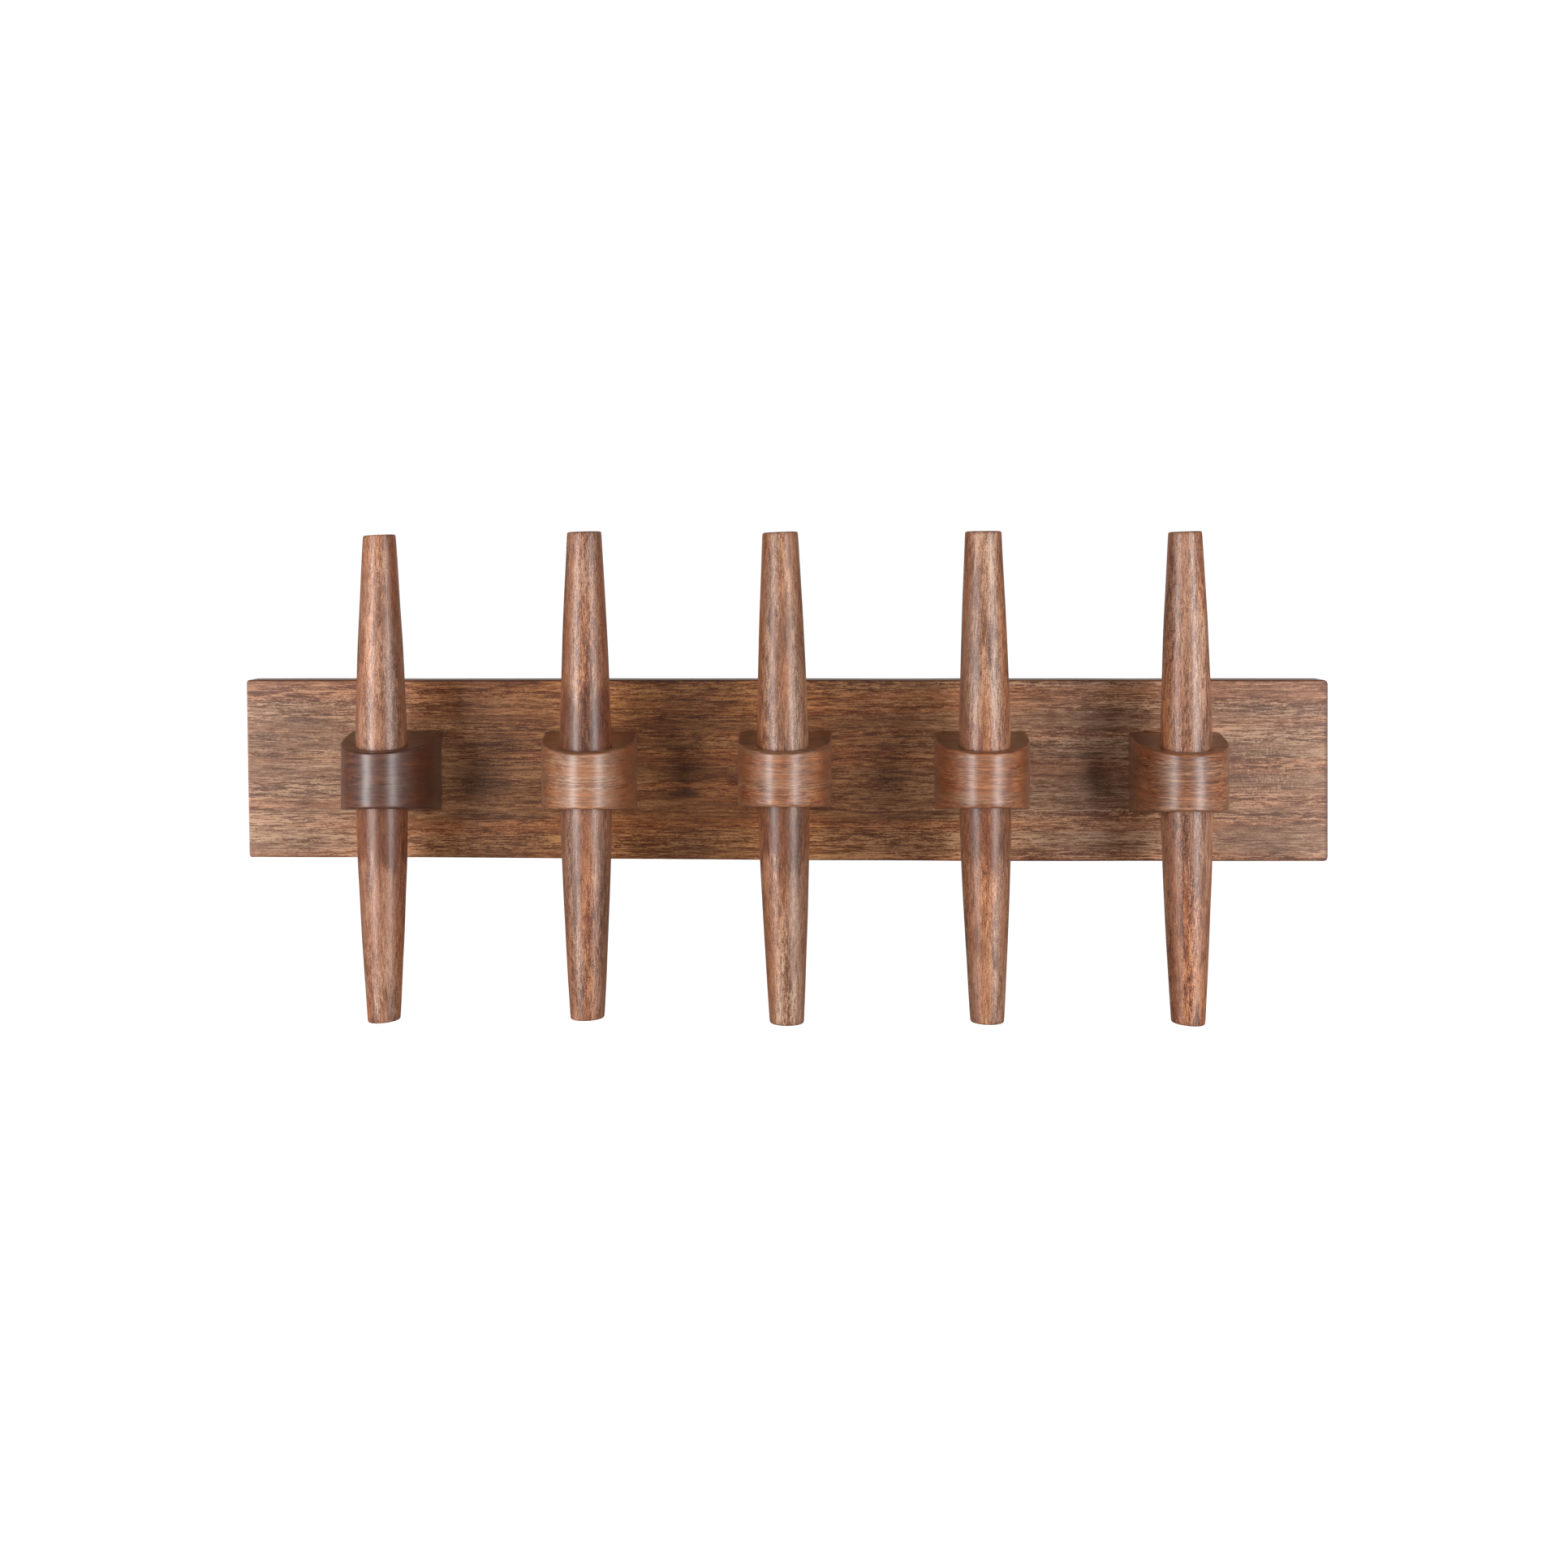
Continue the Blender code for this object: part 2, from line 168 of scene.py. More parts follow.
# ---------------------------------------------------------------- node graph helper
class Graph:
    """A short way to write one material's nodes."""

    def __init__(self, name):
        self.material = bpy.data.materials.new(name)
        self.material.use_nodes = True
        self.tree = self.material.node_tree
        self.shader = self.tree.nodes["Principled BSDF"]
        self.coords = self.tree.nodes.new("ShaderNodeTexCoord").outputs["Object"]

    def wire(self, value, socket):
        """Link a node's output into the socket, or set the socket to a plain value."""
        if isinstance(value, bpy.types.NodeSocket):
            self.tree.links.new(value, socket)
        else:
            socket.default_value = value

    def math(self, operation, first, second=0.0):
        node = self.tree.nodes.new("ShaderNodeMath")
        node.operation = operation
        self.wire(first, node.inputs[0])
        self.wire(second, node.inputs[1])
        return node.outputs[0]

    def stretch(self, vector, scale, offset=(0, 0, 0)):
        node = self.tree.nodes.new("ShaderNodeMapping")
        self.wire(vector, node.inputs["Vector"])
        node.inputs["Scale"].default_value = scale
        node.inputs["Location"].default_value = offset
        return node.outputs[0]

    def shift(self, vector, by, scale):
        """The vector plus scale times the other vector."""
        part = self.tree.nodes.new("ShaderNodeVectorMath")
        part.operation = "SCALE"
        self.wire(by, part.inputs[0])
        part.inputs["Scale"].default_value = scale
        added = self.tree.nodes.new("ShaderNodeVectorMath")
        added.operation = "ADD"
        self.wire(vector, added.inputs[0])
        self.wire(part.outputs[0], added.inputs[1])
        return added.outputs[0]

    def length(self, vector):
        node = self.tree.nodes.new("ShaderNodeVectorMath")
        node.operation = "LENGTH"
        self.wire(vector, node.inputs[0])
        return node.outputs["Value"]

    def noise(self, vector, detail, roughness=0.55, distortion=0.0, output="Fac"):
        node = self.tree.nodes.new("ShaderNodeTexNoise")
        self.wire(vector, node.inputs["Vector"])
        node.inputs["Scale"].default_value = 1.0
        node.inputs["Detail"].default_value = detail
        node.inputs["Roughness"].default_value = roughness
        node.inputs["Distortion"].default_value = distortion
        return node.outputs[output]

    def ramp(self, factor, stops):
        """Colours between (position, colour) stops."""
        node = self.tree.nodes.new("ShaderNodeValToRGB")
        elements = node.color_ramp.elements
        while len(elements) < len(stops):
            elements.new(0.5)
        for element, (position, colour) in zip(elements, stops):
            element.position = position
            element.color = (*colour, 1.0)
        self.wire(factor, node.inputs["Fac"])
        return node.outputs["Color"]

    def window(self, value, low, high):
        """0 below low and 1 above high, smooth between; low above high turns it round."""
        node = self.tree.nodes.new("ShaderNodeMapRange")
        node.interpolation_type = "SMOOTHSTEP"
        self.wire(value, node.inputs["Value"])
        if low < high:
            bounds = (low, high, 0.0, 1.0)
        else:
            bounds = (high, low, 1.0, 0.0)
        for socket, number in zip(("From Min", "From Max", "To Min", "To Max"), bounds):
            node.inputs[socket].default_value = number
        return node.outputs["Result"]

    def blend(self, factor, first, second, mode="MIX"):
        """From the first colour at factor 0 to the second at 1, mixed in by mode."""
        node = self.tree.nodes.new("ShaderNodeMix")
        node.data_type = "RGBA"
        node.blend_type = mode
        self.wire(factor, node.inputs["Factor"])
        for colour, socket in ((first, "A"), (second, "B")):
            plain = not isinstance(colour, bpy.types.NodeSocket)
            self.wire((*colour, 1.0) if plain else colour, node.inputs[socket])
        return next(socket for socket in node.outputs if socket.type == "RGBA")

    def tint(self, factor, colour, by):
        """The colour multiplied by another where factor is 1."""
        return self.blend(factor, colour, self.blend(1.0, colour, by, "MULTIPLY"))

    def axis(self, vector, name):
        node = self.tree.nodes.new("ShaderNodeSeparateXYZ")
        self.wire(vector, node.inputs[0])
        return node.outputs[name]

    def bump(self, height, strength, distance):
        node = self.tree.nodes.new("ShaderNodeBump")
        node.inputs["Strength"].default_value = strength
        node.inputs["Distance"].default_value = distance
        self.wire(height, node.inputs["Height"])
        return node.outputs["Normal"]


def scaled(vector, factor):
    return tuple(component * factor for component in vector)


# ---------------------------------------------------------------- wood
# A wood's layers are (scale per metre along X, Y and Z, weight, detail), from broad bands down to
# single fibres. A small scale along one axis stretches the pattern along the fibres.
BOARD_LAYERS = (
    ((5, 48, 48), 0.36, 2.0),
    ((15, 260, 260), 0.62, 3.0),
    ((42, 900, 900), 1.05, 3.0),
    ((150, 1900, 1900), 1.25, 2.0),
    ((650, 2400, 2400), 0.70, 1.0),
)
BLOCK_LAYERS = (
    ((16, 16, 140), 0.26, 2.0),
    ((18, 18, 620), 0.36, 3.0),
    ((60, 60, 1700), 0.75, 2.0),
    ((220, 220, 2600), 0.90, 2.0),
)
ROD_LAYERS = (
    ((85, 85, 16), 0.40, 2.0),
    ((260, 260, 55), 0.58, 4.0),
    ((900, 900, 75), 0.52, 3.0),
    ((2100, 2100, 220), 1.05, 2.0),
    ((2800, 2800, 1100), 0.90, 1.0),
)
PALETTE_TONES = (0.26, 0.50, 0.74)      # where the palette's dark, middle and light lie
FAINTEST = 0.60               # the figure's strength where it's faintest
FIGURE_SPREAD = 0.85          # and how much stronger it gets
# The scales of these are shares of the middle layer's.
SWAY_SHARE = 0.045
HUE_SHARE = 0.09
FIGURE_SHARE = 0.13
PORE_SHARE = 0.9
BOARD_HUE = (1.10, 0.94, 0.84)          # the warmer patches on each kind of piece
BLOCK_HUE = (1.10, 0.91, 0.76)
ROD_HUE = (1.11, 0.89, 0.69)
# The tint of the painted shade that darkens and warms the board's middle, between the hooks.
PAINTED_SHADE_TINT = (0.90, 0.70, 0.43)
# The tint by which stain and the painted shade on the rods' and blocks' sides darken the wood.
STAIN_AND_SHADE_TINT = (0.46, 0.32, 0.22)
PORE_DEPTH = 0.40
CURL_SCALE = (900, 1, 300)
CURL_DEPTH = 1.1
GRAIN_SWAY = 0.003            # metres by which the fibres wander
BASE_ROUGHNESS = 0.36
GRAIN_RELIEF = 0.0004         # metres


def tone_of(graph, place, layers, seed):
    """Adds the layers up round 0.5, which the palette's ramp turns into colour. A slow noise makes
    the figure strong in some places and faint in others."""
    tone = 0.0
    for index, (scale, weight, detail) in enumerate(layers):
        offset = (seed * 1.37 + index, seed * 2.11, seed * 0.83 - index)
        layer = graph.noise(graph.stretch(place, scale, offset), detail, 0.6)
        swing = graph.math("MULTIPLY", graph.math("SUBTRACT", layer, 0.5), weight)
        tone = graph.math("ADD", tone, swing)
    slow = graph.noise(graph.stretch(place, scaled(layers[2][0], FIGURE_SHARE), (3, seed, seed * 0.6)), 2.0)
    vigour = graph.math("MULTIPLY", graph.window(slow, 0.36, 0.64), FIGURE_SPREAD)
    vigour = graph.math("ADD", vigour, FAINTEST)
    return graph.math("ADD", graph.math("MULTIPLY", tone, vigour), 0.5)


def spot_mask(graph, place, spots):
    """Where the marks are: each is (x, z, half length, half height, strength)."""
    mask = 0.0
    for x, z, length, height, strength in spots:
        away = graph.stretch(place, (1 / length, 0, 1 / height), (-x / length, 0, -z / height))
        spot = graph.window(graph.length(away), 1.10, 0.45)
        mask = graph.math("MAXIMUM", mask, graph.math("MULTIPLY", spot, strength))
    return mask


def wood_material(name, layers, palette, seed, darkening_and_painted_shade, stain, coat, knots_and_shadows=(), curls=(), painted_shade=None,
                  hue=BOARD_HUE):
    """Satin, stained hardwood. palette is (dark, middle, light). The darkening mask, called with
    (graph, patches), gives 1 where the piece is darkened: along the board's front arrises, by stain
    at the rods' tips and in worn patches by their blocks, on the blocks' upper and lower faces, and
    by painted shade on the rods' and blocks' sides. stain is (strength, scale) of the darker
    patches, and coat is (weight, roughness, specular level) of the lacquer. The marks are a knot and
    dark streaks in the grain, and painted shadows: soft dark patches where the hooks shade the
    board. curls are places where the grain ripples across. The painted shade mask gives 1 where
    painted shade darkens and warms the board's middle, between the hooks. hue tints the warmer
    patches. Each piece has its own seed, so no two share a pattern."""
    graph = Graph(name)
    place = graph.coords
    fibre = layers[2][0]
    dark = palette[0]
    sway = graph.noise(graph.stretch(place, scaled(fibre, SWAY_SHARE), (seed, 0, 0)), 3.0,
                       output="Color")
    swayed = graph.shift(place, sway, GRAIN_SWAY)

    tone = tone_of(graph, swayed, layers, seed)
    if curls:
        ripple = graph.math("SUBTRACT", graph.noise(graph.stretch(swayed, CURL_SCALE), 3.0), 0.5)
        curl = graph.math("MULTIPLY", spot_mask(graph, place, curls), ripple)
        tone = graph.math("ADD", tone, graph.math("MULTIPLY", curl, CURL_DEPTH))
    colour = graph.ramp(tone, list(zip(PALETTE_TONES, palette)))

    hues = graph.noise(graph.stretch(place, scaled(fibre, HUE_SHARE), (seed * 0.7, seed, 5)), 2.0)
    colour = graph.tint(graph.window(hues, 0.42, 0.60), colour, hue)
    # Painted shade: the board's middle is darkened and warmed where the hooks shade it.
    if painted_shade:
        colour = graph.tint(painted_shade(graph), colour, PAINTED_SHADE_TINT)

    strength, stain_scale = stain
    patches = graph.noise(graph.stretch(place, stain_scale, (0, seed * 1.9, seed)), 4.0, 0.62, 0.5)
    patch = graph.window(patches, 0.50, 0.66)
    # The stain patches and the darkening mask, which holds the painted shade on the rods' and blocks'
    # sides, darken the colour by one tint.
    shade = graph.math("MAXIMUM", graph.math("MULTIPLY", patch, strength), darkening_and_painted_shade(graph, patches))
    colour = graph.tint(shade, colour, STAIN_AND_SHADE_TINT)
    # Marks: a knot and dark streaks, and painted shadows, soft dark patches where the hooks shade the
    # board.
    if knots_and_shadows:
        knot_and_shadow_colour = graph.blend(0.5, scaled(dark, 0.4), graph.blend(0.6, colour, dark))
        colour = graph.blend(spot_mask(graph, swayed, knots_and_shadows), colour, knot_and_shadow_colour)

    pores = graph.noise(graph.stretch(swayed, scaled(fibre, PORE_SHARE), (seed * 3.1, 0, 2)), 1.0, 0.5)
    pore = graph.window(pores, 0.60, 0.70)
    colour = graph.blend(graph.math("MULTIPLY", pore, PORE_DEPTH), colour, scaled(dark, 0.7))
    graph.wire(colour, graph.shader.inputs["Base Color"])

    dull = graph.math("MULTIPLY", graph.math("ADD", tone, patches), 0.10)
    rough = graph.math("ADD", graph.math("ADD", dull, BASE_ROUGHNESS), graph.math("MULTIPLY", pore, 0.2))
    graph.wire(rough, graph.shader.inputs["Roughness"])
    for socket, value in zip(("Coat Weight", "Coat Roughness", "Specular IOR Level"), coat):
        graph.shader.inputs[socket].default_value = value

    relief = graph.math("SUBTRACT", graph.math("MULTIPLY", tone, 0.8), pore)
    graph.wire(graph.bump(relief, 0.12, GRAIN_RELIEF), graph.shader.inputs["Normal"])
    return graph.material


# Each palette is (dark, middle, light) in linear colour. The first block is much the darkest piece.
BOARD_WOOD = ((0.092, 0.033, 0.013), (0.222, 0.108, 0.058), (0.405, 0.246, 0.152))
# Marks on the board: x, z, half length, half height and strength. The first is a knot and a few are
# dark streaks; the others are painted shadows, soft dark patches where the hooks shade the board.
BOARD_KNOTS_AND_SHADOWS = (
    (-0.0560, -0.0120, 0.0130, 0.0026, 1.00), (-0.0750, -0.0125, 0.0300, 0.0022, 0.45),
    (-0.1760, 0.0400, 0.0200, 0.0150, 0.26), (-0.1700, -0.0080, 0.0270, 0.0060, 0.36),
    (-0.1640, -0.0250, 0.0400, 0.0028, 0.50), (-0.2700, 0.0285, 0.0300, 0.0040, 0.35),
    (0.0900, -0.0240, 0.0300, 0.0030, 0.32), (0.1850, -0.0040, 0.0180, 0.0110, 0.32),
    (0.0800, 0.0180, 0.0200, 0.0080, 0.20), (0.1870, 0.0300, 0.0200, 0.0130, 0.26),
)
BOARD_CURLS = ((0.2700, -0.0020, 0.0220, 0.0260, 0.65), (0.2380, 0.0160, 0.0140, 0.0120, 0.40))
BLOCK_WOODS = (
    ((0.028, 0.010, 0.005), (0.074, 0.025, 0.012), (0.135, 0.053, 0.026)),
    ((0.140, 0.053, 0.025), (0.265, 0.121, 0.060), (0.385, 0.212, 0.120)),
    ((0.112, 0.038, 0.016), (0.240, 0.103, 0.048), (0.370, 0.190, 0.098)),
    ((0.098, 0.031, 0.011), (0.218, 0.086, 0.036), (0.345, 0.168, 0.080)),
    ((0.072, 0.022, 0.008), (0.195, 0.078, 0.034), (0.335, 0.165, 0.084)),
)
ROD_WOODS = (
    ((0.120, 0.040, 0.018), (0.280, 0.126, 0.070), (0.430, 0.252, 0.158)),
    ((0.085, 0.028, 0.014), (0.262, 0.121, 0.070), (0.400, 0.238, 0.153)),
    ((0.105, 0.037, 0.016), (0.285, 0.140, 0.078), (0.435, 0.275, 0.179)),
    ((0.100, 0.033, 0.015), (0.285, 0.132, 0.072), (0.435, 0.262, 0.165)),
    ((0.065, 0.019, 0.009), (0.290, 0.128, 0.070), (0.465, 0.278, 0.175)),
)


def board_edge(graph, patches):
    """Darker along the front face's upper, lower and end arrises."""
    up = graph.math("ABSOLUTE", graph.axis(graph.coords, "Z"))
    along = graph.math("ABSOLUTE", graph.axis(graph.coords, "X"))
    deep = graph.axis(graph.coords, "Y")
    near_top = graph.window(up, BOARD_HEIGHT / 2 - 0.0016, BOARD_HEIGHT / 2 - 0.0007)
    near_end = graph.window(along, BOARD_LENGTH / 2 - 0.0026, BOARD_LENGTH / 2 - 0.0004)
    near_front = graph.window(deep, -BOARD_THICKNESS + 0.0020, -BOARD_THICKNESS + 0.0006)
    return graph.math("MULTIPLY", graph.math("MAXIMUM", near_top, near_end), near_front)


def board_painted_shade(graph):
    """Painted shade: the colour is darkened and warmed a little left of the middle, where the hooks shade
    the board, and left greyer at the ends.
    """
    along = graph.math("ABSOLUTE", graph.math("ADD", graph.axis(graph.coords, "X"), 0.060))
    return graph.window(along, 0.26, 0.06)


def rod_stain_and_painted_shade(hook, half_length):
    """Stain is left at both tips and in worn patches above and below the rod's block. Along the rod's
    sides the colour is darkened as painted shade, which leaves the front and back lighter."""
    above_strength, below_strength = hook["stain"]

    def radius_of(graph, up):
        """The rod's radius at that distance from its middle. Its foot is taken to taper as its top
        does, which is near enough for the painted shade on the sides."""
        slender = graph.math("SUBTRACT", up, ROD_PARALLEL)
        slender = graph.math("DIVIDE", slender, half_length - ROD_PARALLEL)
        taper = graph.math("POWER", graph.math("MAXIMUM", slender, 0.0), ROD_TAPER_POWER)
        loss = graph.math("MULTIPLY", taper, hook["middle"] - hook["top"])
        return graph.math("SUBTRACT", hook["middle"], loss)

    def mask(graph, patches):
        height = graph.axis(graph.coords, "Z")
        up = graph.math("ABSOLUTE", height)
        tips = graph.math("MULTIPLY", graph.window(up, half_length - 0.0030, half_length - 0.0004), 0.7)

        ragged = graph.math("ADD", up, graph.math("MULTIPLY", patches, -0.080))
        above = graph.window(height, -0.001, 0.001)
        strength = graph.math("MULTIPLY", above, above_strength - below_strength)
        strength = graph.math("ADD", strength, below_strength)
        collar = graph.math("MULTIPLY", graph.window(ragged, 0.018, -0.004), strength)

        # Painted shade: the rod's sides are darkened, so the front and back read lighter.
        across = graph.math("MULTIPLY", height, hook["lean"])
        across = graph.math("ADD", graph.axis(graph.coords, "X"), across)
        aside = graph.math("ABSOLUTE", graph.math("DIVIDE", across, radius_of(graph, up)))
        rough_side = graph.math("ADD", aside, graph.math("MULTIPLY", patches, 0.35))
        side = graph.math("MULTIPLY", graph.window(rough_side, 0.60, 1.10), 0.72)
        return graph.math("MAXIMUM", side, graph.math("MAXIMUM", tips, collar))
    return mask


def block_faces_and_painted_side_shade(half_width, half_back, slope):
    """Darker on the sloping upper and lower faces, and painted shade round towards the sides. half_back is
    half the block's height at its back, and slope is how fast that falls towards the nose."""
    def mask(graph, patches):
        up = graph.math("ABSOLUTE", graph.axis(graph.coords, "Z"))
        level = graph.math("SUBTRACT", up, graph.math("MULTIPLY", graph.axis(graph.coords, "Y"), slope))
        faces = graph.math("MULTIPLY", graph.window(level, half_back - 0.0004, half_back - 0.0001), 0.45)
        # Painted shade: the block's sides are darkened towards their edges.
        aside = graph.math("ABSOLUTE", graph.math("DIVIDE", graph.axis(graph.coords, "X"), half_width))
        rough_side = graph.math("ADD", aside, graph.math("MULTIPLY", patches, 0.30))
        side = graph.math("MULTIPLY", graph.window(rough_side, 0.62, 1.05), 0.80)
        return graph.math("MAXIMUM", faces, side)
    return mask


# ---------------------------------------------------------------- metal
MARK_SCALE = 900
CLOUD_SCALE = (160, 160, 160)


def metal_material(name, colour, roughness, streak):
    """Plated steel with fine handling marks. streak is their scale along each axis."""
    graph = Graph(name)
    marks = graph.noise(graph.stretch(graph.coords, scaled(streak, MARK_SCALE)), 5.0, 0.7)
    cloud = graph.noise(graph.stretch(graph.coords, CLOUD_SCALE), 4.0, 0.6)
    clouded = graph.blend(graph.window(cloud, 0.35, 0.75), colour, scaled(colour, 0.62))
    graph.wire(clouded, graph.shader.inputs["Base Color"])
    rough = graph.math("ADD", graph.math("MULTIPLY", marks, 0.35), roughness - 0.15)
    graph.wire(rough, graph.shader.inputs["Roughness"])
    graph.shader.inputs["Metallic"].default_value = 1.0
    graph.wire(graph.bump(marks, 0.25, 0.0001), graph.shader.inputs["Normal"])
    return graph.material


# ---------------------------------------------------------------- mesh helpers
FLAT_SHARP = 35               # degrees: sharper edges than this show, on the board and the steel
ROUND_SHARP = 50              # and on the blocks and rods
PAST_FACE = 0.002             # how far a cutter starts outside the board's back


def link_mesh(name, bm, material, location=(0, 0, 0)):
    bmesh.ops.recalc_face_normals(bm, faces=bm.faces)
    mesh = bpy.data.meshes.new(name)
    bm.to_mesh(mesh)
    bm.free()
    if material:
        mesh.materials.append(material)
    piece = bpy.data.objects.new(name, mesh)
    piece.location = location
    bpy.context.scene.collection.objects.link(piece)
    return piece


def loft(rings, closed=False):
    """Quads between rings of equal length. A closed loft joins the last ring to the first;
    an open one is capped with a face at each end."""
    bm = bmesh.new()
    rows = [[bm.verts.new(point) for point in ring] for ring in rings]
    count = len(rows[0])
    pairs = list(zip(rows, rows[1:]))
    if closed:
        pairs.append((rows[-1], rows[0]))
    for low, high in pairs:
        for index in range(count):
            after = (index + 1) % count
            bm.faces.new((low[index], low[after], high[after], high[index]))
    if not closed:
        bm.faces.new(list(reversed(rows[0])))
        bm.faces.new(rows[-1])
    return bm


def smooth(piece, angle):
    """Smooth shading, except where faces meet at more than the angle in degrees."""
    piece.data.shade_smooth()
    piece.data.set_sharp_from_angle(angle=math.radians(angle))


def carve(piece, cutters):
    """Cut the cutters out of the piece for good, and remove them."""
    for cutter in cutters:
        modifier = piece.modifiers.new("cut", "BOOLEAN")
        modifier.operation = "DIFFERENCE"
        modifier.solver = "EXACT"
        modifier.object = cutter
    bpy.context.view_layer.update()
    graph = bpy.context.evaluated_depsgraph_get()
    shape = bpy.data.meshes.new_from_object(piece.evaluated_get(graph), depsgraph=graph)
    piece.modifiers.clear()
    piece.data = shape
    for cutter in cutters:
        bpy.data.objects.remove(cutter, do_unlink=True)


def bump_of(point, wavelength, seed):
    """Smooth hand-made unevenness between -1 and 1."""
    return noise.noise(Vector(point) / wavelength + Vector((seed * 7.3, -seed * 3.1, seed * 5.9)))


def install(piece, node):
    """Hand the piece to the frame in place of the CAD node."""
    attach(piece, BODY)
    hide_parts(node)


def turned(profile, sides, reach_at=None):
    """Turn (radius, distance) points about the -Y axis, which runs from the wall to the front.
    reach_at(angle, distance, radius) may change the radius round the turn, as a thread does."""
    rings = []
    for radius, along in profile:
        ring = []
        for side in range(sides):
            angle = 2 * math.pi * side / sides
            reach = reach_at(angle, along, radius) if reach_at else radius
            ring.append((reach * math.cos(angle), -along, reach * math.sin(angle)))
        rings.append(ring)
    return loft(rings)


def slot_outline(radius, low, high, steps=20):
    """An upright slot with round ends, as (x, z) points. low and high are the ends' centres."""
    points = []
    for centre, start in ((high, 0.0), (low, math.pi)):
        for step in range(steps + 1):
            angle = start + math.pi * step / steps
            points.append((radius * math.cos(angle), centre + radius * math.sin(angle)))
    return points


def slab(outline, back, front):
    """The (x, z) outline between two distances from the wall."""
    return loft([[(x, -depth, z) for x, z in outline] for depth in (back, front)])


def spread(start, stop, steps):
    """Evenly spaced numbers from start to stop, both included."""
    return [start + (stop - start) * step / steps for step in range(steps + 1)]


# ---------------------------------------------------------------- how each hook differs
# Of the block, turn: how far its nose leans sideways, per unit of depth.  height, left and right:
# its height and its two half widths, against the frame's.  rise: its middle's height.  gloss: its
# coat's specular level.
# Of the rod, middle, top and foot: its radii.  lean: how far it leans sideways, per unit of height.
# top_cut and foot_cut: how far its ends stop short of the frame's.  top_slant and foot_slant: the
# slope of its hand-sawn ends.  stain: how strongly it's stained above and below the block.
HOOKS = {
    1: dict(turn=-0.0175, height=1.000, left=0.973, right=0.985, rise=0.0003, gloss=0.46,
            middle=0.0138, top=0.0086, foot=0.0086, lean=0.0100, top_cut=0.0019, foot_cut=0.0017,
            top_slant=0.05, foot_slant=0.08, stain=(0.35, 1.00)),
    2: dict(turn=0.0200, height=0.995, left=1.000, right=1.000, rise=0.0000, gloss=0.34,
            middle=0.0139, top=0.0093, foot=0.0090, lean=0.0070, top_cut=0.0002, foot_cut=0.0034,
            top_slant=0.03, foot_slant=0.04, stain=(1.00, 0.40)),
    3: dict(turn=-0.0330, height=0.960, left=1.000, right=1.000, rise=0.0008, gloss=0.34,
            middle=0.0139, top=0.0097, foot=0.0093, lean=0.0137, top_cut=0.0003, foot_cut=0.0010,
            top_slant=0.04, foot_slant=-0.01, stain=(0.25, 1.00)),
    4: dict(turn=-0.0275, height=0.980, left=1.000, right=1.000, rise=0.0003, gloss=0.34,
            middle=0.0140, top=0.0099, foot=0.0091, lean=0.0081, top_cut=0.0001, foot_cut=0.0014,
            top_slant=0.01, foot_slant=-0.02, stain=(0.25, 0.95)),
    5: dict(turn=-0.0285, height=1.020, left=1.000, right=1.000, rise=-0.0010, gloss=0.34,
            middle=0.0139, top=0.0091, foot=0.0091, lean=0.0063, top_cut=0.0001, foot_cut=0.0002,
            top_slant=0.03, foot_slant=-0.07, stain=(0.50, 0.45)),
}


# ---------------------------------------------------------------- screws
SCREW_SIDES = 24
HOLE_SIDES = 36
HEAD_EASE = 0.00012           # where the head's edge becomes upright
HEAD_RIM = 0.00030            # and where it turns into the cone
THREAD_ENTRY = 0.0004         # from the plain shank down to the thread's root
ROWS_PER_TURN = 8
POINT_ROWS = 8
POINT_RADIUS = 0.00012
CREST_HALF = 0.30             # half the crest's width, against the pitch
CREST_REACH = 1.04            # the crest's radius, against the shank's
RECESS_ARM = 0.56             # half the cross recess's length, against the head's radius
RECESS_WIDTH = 0.21           # its whole width, against the same
RECESS_DEPTH = 0.62           # against the head's height
RECESS_FLOOR = 0.45           # the floor's length, against the mouth's
HOLE_ROOM = 0.0003            # the gap between a screw and its hole
HOLE_POINT = 0.0003           # the radius of the hole's blunt tip
BLOCK_SCREW = dict(shank=0.0021, head_height=0.0028)
BLOCK_THREAD = dict(root=0.0015, thread=0.026, tip=0.004, pitch=0.0026)
PLATE_SCREW = dict(shank=0.0014, head_height=0.0014)
PLATE_THREAD = dict(root=0.0010, thread=0.0085, tip=0.0025, pitch=0.0017)


def wood_screw_profile(length, head, shank, root, head_height, thread, tip, pitch):
    """Countersunk head with a thin rim, plain shank, thread and point, from the head inwards.
    Also gives where the thread starts."""
    points = [(head * 0.55, 0.0), (head * 0.96, 0.0), (head, HEAD_EASE), (head, HEAD_RIM)]
    points += [(shank * 1.08, head_height), (shank, head_height * 1.25)]
    start = length - tip - thread
    points += [(shank, start), (root, start + THREAD_ENTRY)]
    rows = int(thread / pitch * ROWS_PER_TURN)
    for row in range(1, rows + 1):
        points.append((root, start + THREAD_ENTRY + (thread - THREAD_ENTRY) * row / rows))
    for row in range(1, POINT_ROWS + 1):
        share = row / POINT_ROWS
        points.append((root * (1 - share) + POINT_RADIUS * share, length - tip + tip * share))
    return points, start


